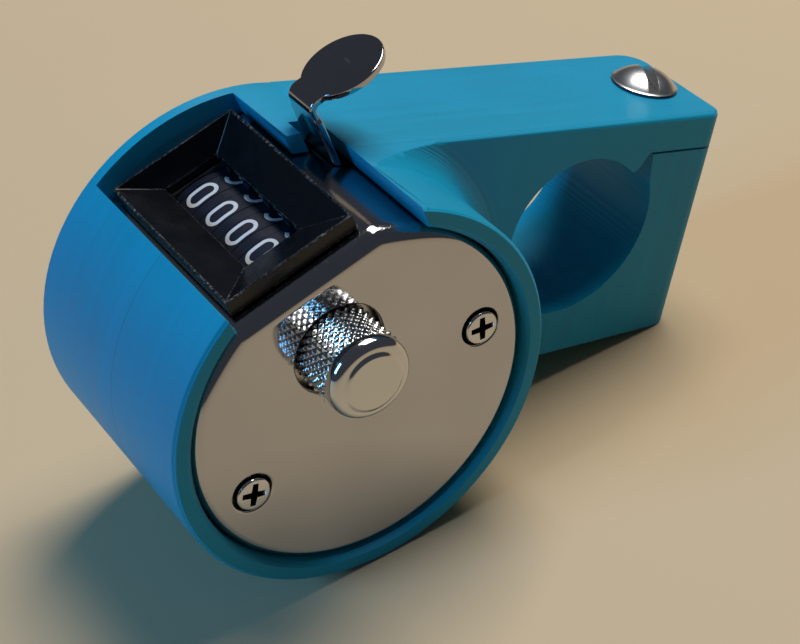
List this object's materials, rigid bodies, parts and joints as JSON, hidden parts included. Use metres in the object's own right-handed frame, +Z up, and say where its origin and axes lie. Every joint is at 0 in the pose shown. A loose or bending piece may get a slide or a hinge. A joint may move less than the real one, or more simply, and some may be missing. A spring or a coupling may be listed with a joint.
{
  "type": "hand tally counter in clamp holder",
  "caption": "Mechanical hand tally counter with number window, thumb lever and reset knob, pressed into a printed ring whose arm ends in a screw clamp for a bar.",
  "frame": {"origin": "middle of the bounding box on the surface that ring and jaw rest on", "axes": "+Z up, +X the way the arm reaches, -Y the way the counter's face and reset knob look"},
  "size_m": [0.0898, 0.041, 0.0579],
  "materials": {
    "holder_plastic": "layered print, satin",
    "insert_brass": "turned",
    "screw_steel": "plated, bright",
    "case_chrome": "plated, polished, lightly worn",
    "frame_steel": "plain sheet",
    "window_black": "moulded, scuffed",
    "wheel_black": "moulded, white numerals",
    "pinion_plastic": "moulded",
    "lever_chrome": "plated strip, polished"
  },
  "bodies": {
    "holder": {"holder_body": "holder_plastic", "case_cup": "case_chrome", "back_cover": "frame_steel", "window_bezel": "window_black", "front_frame_plate": "frame_steel", "rear_frame_plate": "frame_steel", "frame_post_left": "frame_steel", "frame_post_right": "frame_steel", "frame_post_foot": "frame_steel", "cover_screw_left": "screw_steel", "cover_screw_right": "screw_steel", "pinion_shaft": "frame_steel", "lever_pivot_pin": "frame_steel", "return_spring": "frame_steel", "holding_spring": "frame_steel"},
    "jaw": {"clamp_jaw": "holder_plastic", "clamp_insert": "insert_brass"},
    "clamp_bolt": {"clamp_screw": "screw_steel"},
    "reset": {"reset_knob": "case_chrome", "reset_shaft": "frame_steel", "shaft_collar": "frame_steel"},
    "lever": {"thumb_lever": "lever_chrome", "pawl_pin": "frame_steel"},
    "pawl": {"drive_pawl": "frame_steel"},
    "units": {"units_wheel": "wheel_black", "ratchet_wheel": "frame_steel"},
    "tens": {"tens_wheel": "wheel_black"},
    "hundreds": {"hundreds_wheel": "wheel_black"},
    "thousands": {"thousands_wheel": "wheel_black"},
    "tens_carry": {"tens_pinion": "pinion_plastic"},
    "hundreds_carry": {"hundreds_pinion": "pinion_plastic"},
    "thousands_carry": {"thousands_pinion": "pinion_plastic"}
  },
  "joints": [
    {"name": "lever_press", "type": "hinge", "parent": "holder", "child": "lever", "pos_m": [-0.03514, 0, 0.03626], "axis": [0, 1, 0], "range_deg": [0, 8], "stiffness_Nm_per_rad": 0.06, "springref_deg": -10.03, "deforming": ["return_spring"]},
    {"name": "pawl_swing", "type": "hinge", "parent": "lever", "child": "pawl", "pos_m": [-0.01705, 0, 0.04057], "axis": [0, 1, 0], "range_deg": [-6, 0]},
    {"name": "units_turn", "type": "hinge", "parent": "holder", "child": "units", "pos_m": [-0.02213, 0, 0.03366], "axis": [0, 1, 0], "range_deg": [0, 36]},
    {"name": "tens_turn", "type": "hinge", "parent": "holder", "child": "tens", "pos_m": [-0.02213, 0, 0.03366], "axis": [0, 1, 0], "continuous": true},
    {"name": "hundreds_turn", "type": "hinge", "parent": "holder", "child": "hundreds", "pos_m": [-0.02213, 0, 0.03366], "axis": [0, 1, 0], "continuous": true},
    {"name": "thousands_turn", "type": "hinge", "parent": "holder", "child": "thousands", "pos_m": [-0.02213, 0, 0.03366], "axis": [0, 1, 0], "continuous": true},
    {"name": "tens_pinion_turn", "type": "hinge", "parent": "holder", "child": "tens_carry", "pos_m": [-0.02521, 0, 0.0229], "axis": [0, 1, 0], "continuous": true},
    {"name": "hundreds_pinion_turn", "type": "hinge", "parent": "holder", "child": "hundreds_carry", "pos_m": [-0.02521, 0, 0.0229], "axis": [0, 1, 0], "continuous": true},
    {"name": "thousands_pinion_turn", "type": "hinge", "parent": "holder", "child": "thousands_carry", "pos_m": [-0.02521, 0, 0.0229], "axis": [0, 1, 0], "continuous": true},
    {"name": "reset_turn", "type": "hinge", "parent": "holder", "child": "reset", "pos_m": [-0.02213, 0, 0.03366], "axis": [0, 1, 0], "continuous": true},
    {"name": "clamp_screw_turn", "type": "hinge", "parent": "holder", "child": "clamp_bolt", "pos_m": [0.03918, 0.01075, 0.03159], "axis": [0.317, 0, 0.9484], "range_deg": [0, 720]},
    {"name": "jaw_slide", "type": "slide", "parent": "holder", "child": "jaw", "axis": [-0.317, 0, -0.9484], "range_m": [0, 0.0014]}
  ],
  "couplings": [
    {"joint": "units_turn", "follows": "lever_press", "ratio": 4.5},
    {"joint": "pawl_swing", "follows": "lever_press", "ratio": -0.75},
    {"joint": "tens_pinion_turn", "follows": "tens_turn", "ratio": -2.5},
    {"joint": "hundreds_pinion_turn", "follows": "hundreds_turn", "ratio": -2.5},
    {"joint": "thousands_pinion_turn", "follows": "thousands_turn", "ratio": -2.5},
    {"joint": "clamp_screw_turn", "follows": "jaw_slide", "rad_per_m": 8975.9}
  ]
}
